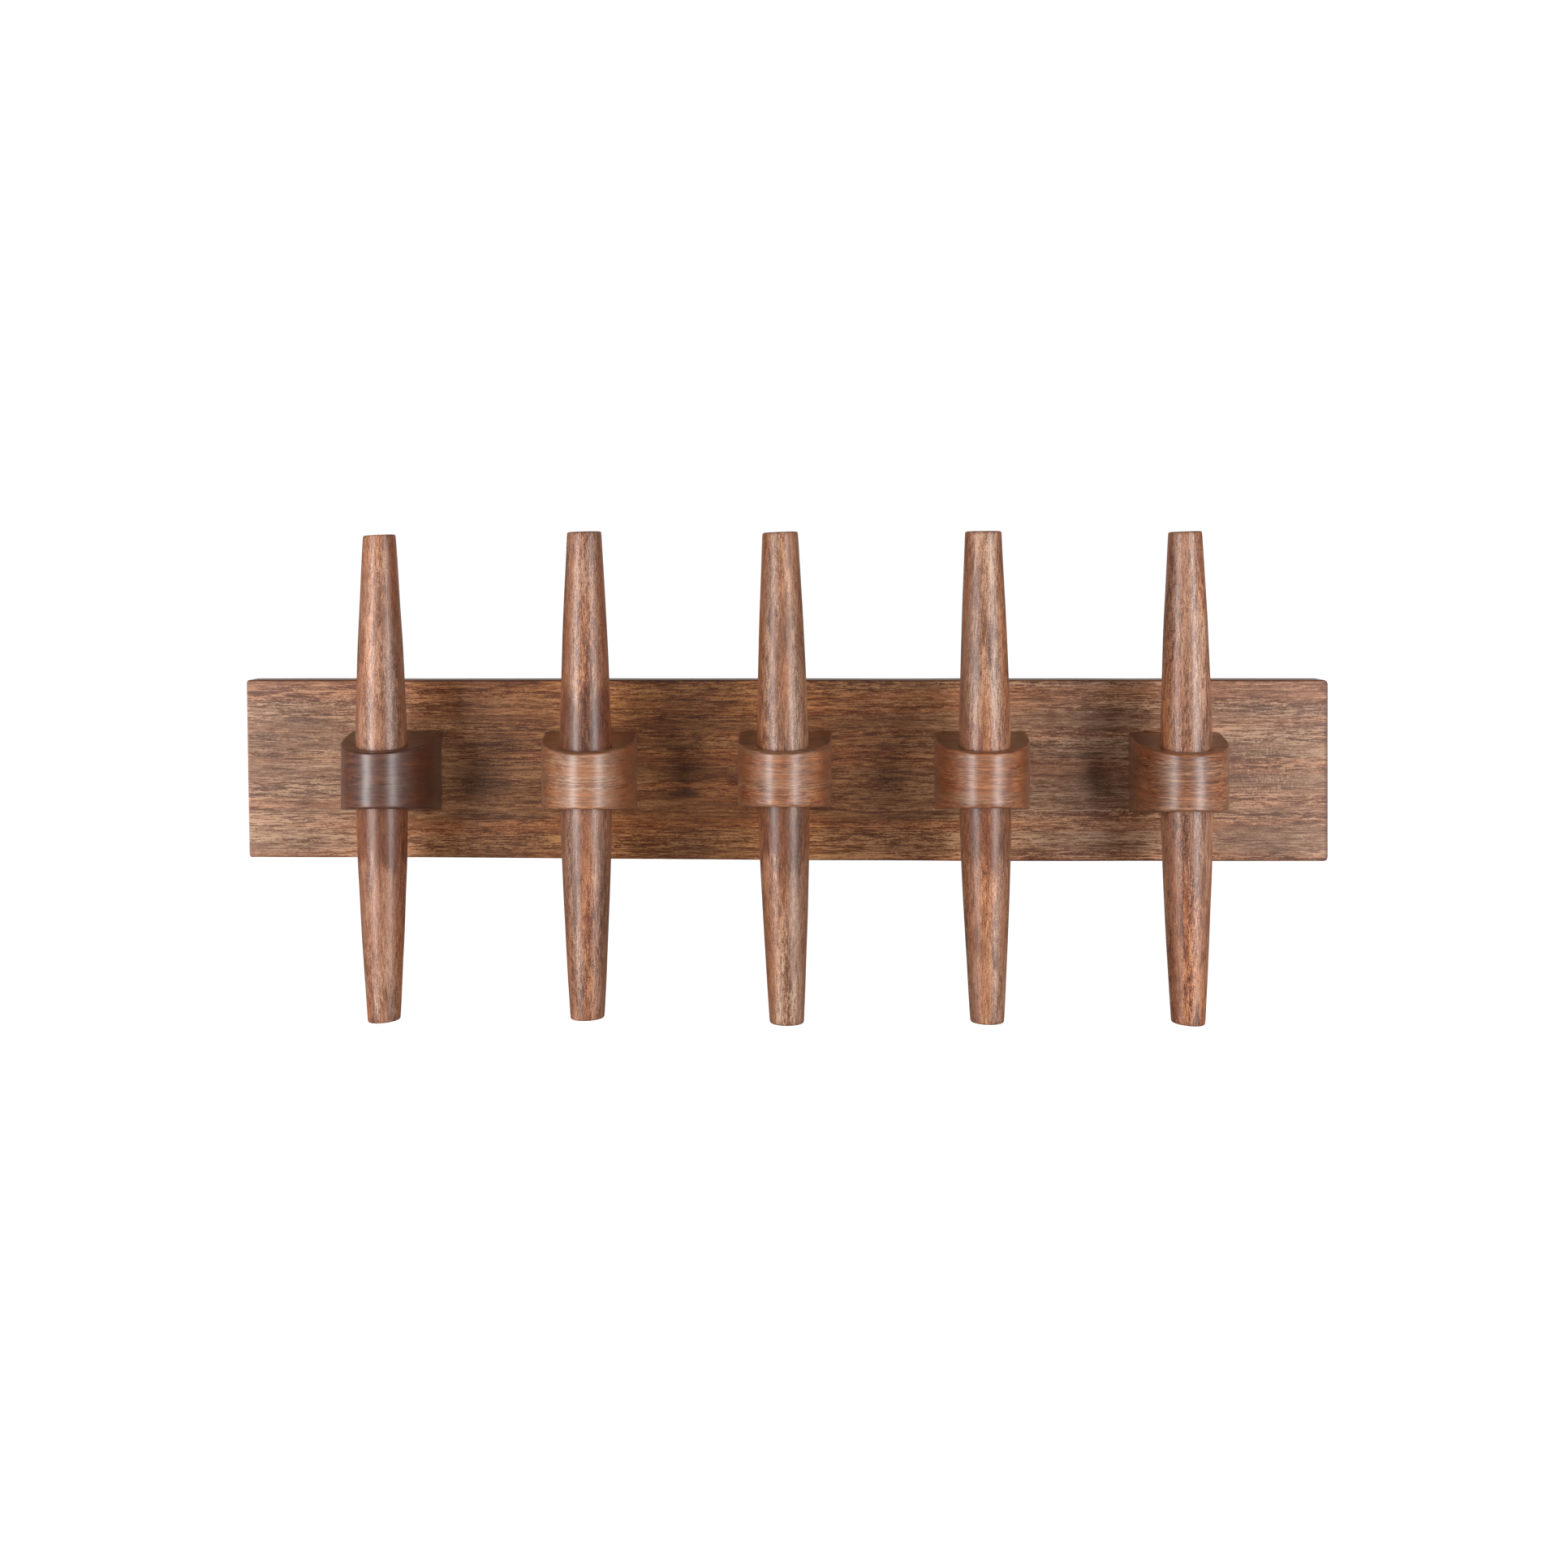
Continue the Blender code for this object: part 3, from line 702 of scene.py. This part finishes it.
def make_screw(node, material, shank, root, head_height, thread, tip, pitch):
    low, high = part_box(node)
    middle = box_middle(node)
    head = (high.x - low.x) / 2
    length = high.y - low.y
    profile, start = wood_screw_profile(length, head, shank, root, head_height, thread, tip, pitch)

    def thread_reach(angle, along, radius):
        if along <= start:
            return radius
        phase = (along / pitch - angle / (2 * math.pi)) % 1.0
        ridge = max(0.0, 1 - abs(phase - 0.5) / CREST_HALF)
        fade = min(1.0, (along - start) / pitch, (length - along) / tip + 0.05)
        return radius + (shank * CREST_REACH - root) * ridge * fade

    screw = link_mesh(node + "_turned", turned(profile, SCREW_SIDES, thread_reach), material,
                      (middle.x, high.y, middle.z))
    arm = head * RECESS_ARM
    half = head * RECESS_WIDTH / 2
    recess_turn = 0.6 * bump_of(middle * 40, 1.0, 4) * math.pi
    cutters = []
    for sideways in (True, False):
        rings = []
        for share, depth in ((1.0, -0.001), (1.0, 0.0), (RECESS_FLOOR, head_height * RECESS_DEPTH)):
            x, z = (arm * share, half) if sideways else (half, arm * share)
            rings.append([(x, -depth, z), (-x, -depth, z), (-x, -depth, -z), (x, -depth, -z)])
        cutter = link_mesh("recess", loft(rings), None, screw.location)
        cutter.rotation_euler.y = recess_turn
        cutters.append(cutter)
    carve(screw, cutters)
    smooth(screw, FLAT_SHARP)
    install(screw, node)


def screw_hole(node, shank, head_height, room):
    """A cutter for the hole that a sunk screw needs, with that much room round the screw."""
    low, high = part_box(node)
    middle = box_middle(node)
    head = (high.x - low.x) / 2
    profile = [
        (head + room, -PAST_FACE), (head + room, -high.y), (shank + room, -high.y + head_height),
        (shank + room, -low.y - 2 * shank), (HOLE_POINT, -low.y + room)]
    return link_mesh("hole", turned(profile, HOLE_SIDES), None, (middle.x, 0, middle.z))


def station_holes(station):
    return [screw_hole(f"block_screw_{station}_{place}", room=HOLE_ROOM, **BLOCK_SCREW)
            for place in PLACES]


def plate_holes(side, room):
    return [screw_hole(f"hanger_screw_{side}_{place}", room=room, **PLATE_SCREW)
            for place in PLACES]


def make_screws():
    plated = metal_material("yellow_zinc", (0.68, 0.56, 0.32), 0.36, (1, 1, 1))
    bright = metal_material("bright_zinc", (0.62, 0.62, 0.60), 0.33, (1, 1, 1))
    for station in STATIONS:
        for place in PLACES:
            make_screw(f"block_screw_{station}_{place}", plated, **BLOCK_SCREW, **BLOCK_THREAD)
    for side in SIDES:
        for place in PLACES:
            make_screw(f"hanger_screw_{side}_{place}", bright, **PLATE_SCREW, **PLATE_THREAD)


# ---------------------------------------------------------------- keyhole hangers
KEYHOLE_ENTRY_RADIUS = 0.0048
KEYHOLE_ENTRY_DROP = 0.0040
KEYHOLE_SLOT_RADIUS = 0.0024
KEYHOLE_SLOT_RISE = 0.0050
POCKET_RADIUS = 0.0065
POCKET_DEPTH = 0.0070
PLATE_ROOM = 0.0002           # between a plate and its recess in the board
PLATE_HOLE_ROOM = 0.00012     # between a screw's head and its plate
PLATE_ROLL = 0.00022          # the radius of a plate's eased edges
PLATE_CUT = 0.006             # deeper than a plate is thick
POCKET_START = 0.003          # outside the board's back, so that no two cutters' faces coincide


def keyhole_outline():
    """A round entry with a narrower slot above it, as (x, z) points."""
    neck = math.acos(KEYHOLE_SLOT_RADIUS / KEYHOLE_ENTRY_RADIUS)
    points = []
    for angle in spread(0, math.pi, 20):
        points.append((KEYHOLE_SLOT_RADIUS * math.cos(angle),
                       KEYHOLE_SLOT_RISE + KEYHOLE_SLOT_RADIUS * math.sin(angle)))
    for angle in spread(math.pi - neck, 2 * math.pi + neck, 40):
        points.append((KEYHOLE_ENTRY_RADIUS * math.cos(angle),
                       -KEYHOLE_ENTRY_DROP + KEYHOLE_ENTRY_RADIUS * math.sin(angle)))
    return points


def hanger_size(side):
    """A hanger's half width, and how far the centres of its round ends are from its middle."""
    low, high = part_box(f"keyhole_hanger_{side}")
    half_width = (high.x - low.x) / 2
    return half_width, (high.z - low.z) / 2 - half_width


def make_hanger(side, material):
    node = f"keyhole_hanger_{side}"
    low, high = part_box(node)
    middle = box_middle(node)
    half_width, reach = hanger_size(side)
    plate = link_mesh(
        f"hanger_plate_{side}", slab(slot_outline(half_width, -reach, reach), -high.y, -low.y),
        material, (middle.x, 0, middle.z))
    keyhole = link_mesh("keyhole", slab(keyhole_outline(), -PAST_FACE, PLATE_CUT), None, plate.location)
    carve(plate, [keyhole] + plate_holes(side, PLATE_HOLE_ROOM))
    rounding = plate.modifiers.new("rolled_edges", "BEVEL")
    rounding.width = PLATE_ROLL
    rounding.segments = 2
    rounding.limit_method = "ANGLE"
    rounding.angle_limit = math.radians(50)
    smooth(plate, FLAT_SHARP)
    install(plate, node)


# ---------------------------------------------------------------- backboard
BOARD_ARRIS = 0.0008
ARRIS_RADIUS = BOARD_ARRIS * 1.02       # a little more, so an end's corners never shrink to a point
LEFT_END_LEAN = 0.0017        # the left end isn't cut quite square
LEFT_END_SHORT = 0.0016       # and stops short of the frame's box
LOWER_EDGE_RISE = 0.0022      # the lower edge climbs towards the left end
CLIMB_SHARE = 0.75            # of the length, from the left end, over which it climbs
LEFT_CORNER = 0.0014          # radii of the board's corners, seen from the front
RIGHT_CORNER = 0.0022
FACE_PLANING = 0.00013        # how much the planing takes off the front, on average
EDGE_PLANING = 0.00018        # and off the upper and lower edges
FACE_ZONE = 0.2               # the shares of the thickness and of the half height that it moves
EDGE_ZONE = 0.1
BOARD_SPANS = 120
NEAR_END = (BOARD_ARRIS, 0.0012, 0.0017, 0.0022, 0.0030)    # the sections closest to each end
SPANS_FROM_END = 0.0045


def rounded_section(inset, radius, across=8, up=36, corner=5):
    """The board's (y, z) section, shrunk by inset, with its corners rounded to radius."""
    back = -inset - radius
    front = -BOARD_THICKNESS + inset + radius
    top = BOARD_HEIGHT / 2 - inset - radius
    points = []
    for y, z, start, steps, next_y, next_z in (
            (front, top, math.pi / 2, up, front, -top),
            (front, -top, math.pi, across, back, -top),
            (back, -top, 3 * math.pi / 2, up, back, top),
            (back, top, 0.0, across, front, top)):
        for angle in spread(start, start + math.pi / 2, corner):
            points.append((y + radius * math.cos(angle), z + radius * math.sin(angle)))
        here = points[-1]
        for step in range(1, steps):
            share = step / steps
            points.append((here[0] + (next_y - y) * share, here[1] + (next_z - z) * share))
    return points


def hand_cut(x, y, z):
    """Moves a point of the straight board to where the hand-cut board has it."""
    share = x / BOARD_LENGTH + 0.5
    top = BOARD_HEIGHT / 2
    front_share = max(0.0, -y / BOARD_THICKNESS - (1 - FACE_ZONE)) / FACE_ZONE
    y += front_share * FACE_PLANING * (1 + bump_of((x, 0, z * 2.5), 0.045, 3))
    edge_share = max(0.0, abs(z) / top - (1 - EDGE_ZONE)) / EDGE_ZONE
    z -= math.copysign(edge_share * EDGE_PLANING * (1 + bump_of((x, 0, 0), 0.05, 5)), z)
    corner = RIGHT_CORNER if x > 0 else LEFT_CORNER
    inwards = corner - (BOARD_LENGTH / 2 - abs(x))
    if inwards > 0:
        z *= 1 - (corner - math.sqrt(corner ** 2 - inwards ** 2)) / top
    climb = LOWER_EDGE_RISE * (1 + math.cos(math.pi * min(1.0, share / CLIMB_SHARE))) / 2
    z += climb * (0.5 - z / BOARD_HEIGHT)
    near_left = max(0.0, 1 - share) ** 3
    x += near_left * (LEFT_END_SHORT + LEFT_END_LEAN * (0.5 - z / BOARD_HEIGHT))
    return (x, y, z)


def board_rings():
    """The board's sections from its left end to its right one, each end rounded off."""
    half = BOARD_LENGTH / 2
    ends = []
    for turn in spread(0.0, math.pi / 2, 5)[:-1]:
        inset = BOARD_ARRIS * (1 - math.sin(turn))
        section = rounded_section(inset, ARRIS_RADIUS - inset)
        ends.append((half - BOARD_ARRIS * (1 - math.cos(turn)), section))
    near_end = [half - distance for distance in NEAR_END]
    places = [-x for x in near_end]
    places += spread(-half + SPANS_FROM_END, half - SPANS_FROM_END, BOARD_SPANS)
    places += reversed(near_end)
    straight = [(x, rounded_section(0.0, ARRIS_RADIUS)) for x in places]
    sections = [(-x, section) for x, section in ends] + straight + list(reversed(ends))
    return [[hand_cut(x, y, z) for y, z in section] for x, section in sections]


def make_board():
    wood = wood_material("board_wood", BOARD_LAYERS, BOARD_WOOD, 2.0, board_edge,
                         (0.40, (9, 26, 26)), (0.22, 0.32, 0.30), BOARD_KNOTS_AND_SHADOWS, BOARD_CURLS, board_painted_shade)
    board = link_mesh("backboard_wood", loft(board_rings()), wood)
    cutters = []
    for station in STATIONS:
        cutters += station_holes(station)
    for side in SIDES:
        node = f"keyhole_hanger_{side}"
        middle = box_middle(node)
        half_width, reach = hanger_size(side)
        seat = -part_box(node)[0].y + PLATE_ROOM
        recess = slab(slot_outline(half_width + PLATE_ROOM, -reach, reach), -PAST_FACE, seat)
        pocket = slab(slot_outline(POCKET_RADIUS, -KEYHOLE_ENTRY_DROP, KEYHOLE_SLOT_RISE),
                      -POCKET_START, seat + POCKET_DEPTH)
        for shape in (recess, pocket):
            cutters.append(link_mesh("cutter", shape, None, (middle.x, 0, middle.z)))
        cutters += plate_holes(side, HOLE_ROOM)
    carve(board, cutters)
    smooth(board, FLAT_SHARP)
    install(board, "backboard")


# ---------------------------------------------------------------- blocks
BLOCK_ARRIS = 0.0011
BACK_ARRIS = 0.0003
BACK_CORNER = 0.0020          # the radius of the block's corners against the board
BACK_NEARER = 0.0002          # how much nearer the board its back is than the frame's
DEPTH_LESS = 0.0002           # and how much shallower it is than the frame's
BORE_EASE = 0.0005            # the rounding of the bore's rims
BORE_FIT = 0.00012            # the gap between the bore and the rod
NOSE_POWER = 2.1              # 2 would make the nose an ellipse; more makes it squarer
BLOCK_STRAIGHT = 0.019        # the length of its straight sides
SIDE_CARVING = 0.00020        # how much the carving takes off the sides, on average
TOP_CARVING = 0.00012         # and off the upper and lower faces
BORE_LEAN_REACH = 0.006       # how far from the bore the block follows the rod's lean
BACK_RAYS = 26
NOSE_RAYS = 96


def block_plan(left, right, depth):
    """The D outline, from one back corner round the nose to the other, as (x, y) points."""
    corner = [(BACK_CORNER * (1 - math.sin(angle)), BACK_CORNER * (1 - math.cos(angle)))
              for angle in spread(0.0, math.pi / 2, 10)[:-1]]
    points = [(right - inset, -y) for inset, y in corner]
    points += [(right, -y) for y in spread(BACK_CORNER, BLOCK_STRAIGHT, 40)[:-1]]
    for angle in spread(0.0, math.pi, 180):
        x = math.copysign(abs(math.cos(angle)) ** (2 / NOSE_POWER), math.cos(angle))
        y = BLOCK_STRAIGHT + (depth - BLOCK_STRAIGHT) * abs(math.sin(angle)) ** (2 / NOSE_POWER)
        points.append((x * (right if x > 0 else left), -y))
    points += [(-left, -y) for y in spread(BLOCK_STRAIGHT, BACK_CORNER, 40)[1:]]
    points += [(inset - left, -y) for inset, y in reversed(corner)]
    return points


def block_rays(left, right, depth, bore_y):
    """From the bore's axis: each ray's angle, how far the D outline is along it, and its arris."""
    plan = np.array(block_plan(left, right, depth))[::-1]
    angles = np.unwrap(np.arctan2(plan[:, 1] - bore_y, plan[:, 0]))
    reaches = np.hypot(plan[:, 0], plan[:, 1] - bore_y)
    first, last = angles[0], angles[-1]
    rays = []
    for step in range(NOSE_RAYS):
        angle = first + (last - first) * step / NOSE_RAYS
        rays.append((angle, float(np.interp(angle, angles, reaches)), BLOCK_ARRIS))
    for step in range(BACK_RAYS):
        angle = last + (first + 2 * math.pi - last) * step / BACK_RAYS
        rays.append((angle, -bore_y / math.sin(angle), BACK_ARRIS))
    return rays


def block_slice(reach, arris, bore):
    """One radial slice, once round: (distance from the bore's axis, level, drop). Level runs from
    1 at the upper surface to -1 at the lower one, and drop is the distance inside that surface."""
    quarter = spread(0.0, math.pi / 2, 4)[1:]
    mouth = bore + BORE_EASE
    upper = [(reach - arris * (1 - math.cos(turn)), arris * (1 - math.sin(turn))) for turn in quarter]
    upper += [(away, 0.0) for away in spread(reach - arris, mouth, 9)[1:]]
    upper += [(mouth - BORE_EASE * math.sin(turn), BORE_EASE * (1 - math.cos(turn))) for turn in quarter]
    points = [(reach, level, arris) for level in spread(-1.0, 1.0, 14)]
    points += [(away, 1.0, drop) for away, drop in upper]
    points += [(bore, level, BORE_EASE) for level in (0.6, 0.2, -0.2, -0.6)]
    points += [(away, -1.0, drop) for away, drop in reversed(upper)]
    return points


def make_block(station):
    hook = HOOKS[station]
    node = f"hook_block_{station}"
    low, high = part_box(node)
    bore_y = box_middle(f"hook_rod_{station}").y - high.y
    depth = high.y - low.y
    half_back = (high.z - low.z) / 2 * hook["height"]
    slope = block_slope() * hook["height"]
    bore = hook["middle"] + BORE_FIT

    def carved(angle, away, level, drop):
        """The point of a slice, moved to where the hand-carved, turned block has it."""
        x = away * math.cos(angle)
        y = bore_y + away * math.sin(angle)
        height = half_back + slope * y
        z = level * (height - drop)
        if away > bore + BORE_EASE / 2 and y < -0.0005:
            uneven = 1 + bump_of((x, y, z * 1.7), 0.020, station * 3.7)
            shrink = 1 - SIDE_CARVING * uneven / away
            x *= shrink
            y = bore_y + (y - bore_y) * shrink
            if abs(level) == 1.0:
                z -= level * TOP_CARVING * (1 + bump_of((x, y, level * 0.05), 0.015, station * 1.9))
        at_bore = max(0.0, 1 - (away - bore) / BORE_LEAN_REACH)
        return (x - hook["turn"] * y - hook["lean"] * z * at_bore, y, z + hook["rise"])

    half = (high.x - low.x) / 2
    rays = block_rays(half * hook["left"], half * hook["right"], depth - DEPTH_LESS, bore_y)
    rings = [[carved(angle, *corner) for corner in block_slice(reach, arris, bore)]
             for angle, reach, arris in rays]
    wood = wood_material(
        f"block_wood_{station}", BLOCK_LAYERS, BLOCK_WOODS[station - 1], 10.0 + station * 3.3,
        block_faces_and_painted_side_shade(half, half_back, slope), (0.50, (60, 60, 110)), (1.00, 0.38, hook["gloss"]),
        hue=BLOCK_HUE)
    block = link_mesh(node + "_wood", loft(rings, closed=True), wood,
                      ((low.x + high.x) / 2, high.y + BACK_NEARER, 0))
    carve(block, station_holes(station))
    smooth(block, ROUND_SHARP)
    install(block, node)


def block_slope():
    """How fast the blocks' upper face falls towards the nose, from the frame's own block."""
    corners = [vertex.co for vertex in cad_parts["hook_block_3"].data.vertices]
    nose = min(corner.y for corner in corners)
    back = max(corner.y for corner in corners)
    nose_top = max(corner.z for corner in corners if corner.y < nose + 0.002)
    back_top = max(corner.z for corner in corners)
    return (back_top - nose_top) / (back - nose)


# ---------------------------------------------------------------- rods
ROD_SIDES = 80
ROD_ROWS = 130
ROD_ARRIS = 0.0009
ROD_PARALLEL = 0.022          # from the middle to where the taper starts
ROD_TAPER_POWER = 1.35
ROD_TRUE = 0.024              # from the middle to where the unevenness starts, clear of the bore
UNEVEN_FADE = 0.02            # and over how much more it grows to the full
FLATS = 0.00016               # how uneven the rod is round its surface
WAISTS = 0.00014              # and along its length
SLANT_ZONE = 0.02             # how far from its tip a slanting end pulls the rod with it


def make_rod(station):
    hook = HOOKS[station]
    node = f"hook_rod_{station}"
    low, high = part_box(node)
    middle = box_middle(node)
    half = (high.z - low.z) / 2
    reach_out = middle.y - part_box(f"hook_block_{station}")[1].y

    def radius_at(z):
        tip = hook["top"] if z > 0 else hook["foot"]
        taper = max(0.0, (abs(z) - ROD_PARALLEL) / (half - ROD_PARALLEL))
        return hook["middle"] - (hook["middle"] - tip) * taper ** ROD_TAPER_POWER

    def shaped(angle, radius, z):
        """The point of the straight rod, moved to where the hand-turned, leaning rod has it."""
        spare = min(1.0, max(0.0, (abs(z) - ROD_TRUE) / UNEVEN_FADE))
        surface = (radius * math.cos(angle), radius * math.sin(angle), z * 0.35)
        flat = bump_of(surface, 0.012, station * 2.3)
        waist = bump_of((0.0, 0.0, z), 0.030, station * 5.1)
        radius += spare * (FLATS * flat + WAISTS * waist)
        x = radius * math.cos(angle)
        y = radius * math.sin(angle)
        slant = hook["top_slant"] if z > 0 else hook["foot_slant"]
        near_tip = max(0.0, 1 - (half - abs(z)) / SLANT_ZONE)
        z += slant * (x - radius_at(z) * math.copysign(1, slant * z)) * near_tip
        return (x + hook["lean"] * -z, y, z)

    top = half - hook["top_cut"]
    foot = -half + hook["foot_cut"]
    ends = []
    for end, direction in ((foot, -1), (top, 1)):
        tip = radius_at(end)
        rows = [(tip - ROD_ARRIS * (1 - math.cos(turn)), end - direction * ROD_ARRIS * (1 - math.sin(turn)))
                for turn in spread(0.0, math.pi / 2, 5)]
        rows += [((tip - ROD_ARRIS) * share, end) for share in (0.8, 0.6, 0.4, 0.2, 0.06)]
        ends.append(rows)
    body = [(radius_at(z), z) for z in spread(foot + ROD_ARRIS, top - ROD_ARRIS, ROD_ROWS)[1:-1]]
    profile = list(reversed(ends[0])) + body + ends[1]
    rings = [[shaped(2 * math.pi * side / ROD_SIDES, radius, z) for side in range(ROD_SIDES)]
             for radius, z in profile]
    wood = wood_material(
        f"rod_wood_{station}", ROD_LAYERS, ROD_WOODS[station - 1], 40.0 + station * 5.7,
        rod_stain_and_painted_shade(hook, half), (0.70, (150, 150, 30)), (0.80, 0.37, 0.30), hue=ROD_HUE)
    rod = link_mesh(node + "_wood", loft(rings), wood,
                    (middle.x - hook["turn"] * reach_out, middle.y, 0))
    carve(rod, station_holes(station))
    smooth(rod, ROUND_SHARP)
    install(rod, node)


def main():
    make_camera()
    make_world()
    make_floor()
    for softbox in SOFTBOXES:
        make_softbox(*softbox)
    make_board()
    for station in STATIONS:
        make_block(station)
        make_rod(station)
    make_screws()
    plate_steel = metal_material("plate_zinc", (0.60, 0.60, 0.58), 0.38, (0.15, 1, 1))
    for side in SIDES:
        make_hanger(side, plate_steel)
    bpy.context.scene.view_settings.view_transform = "Standard"


main()
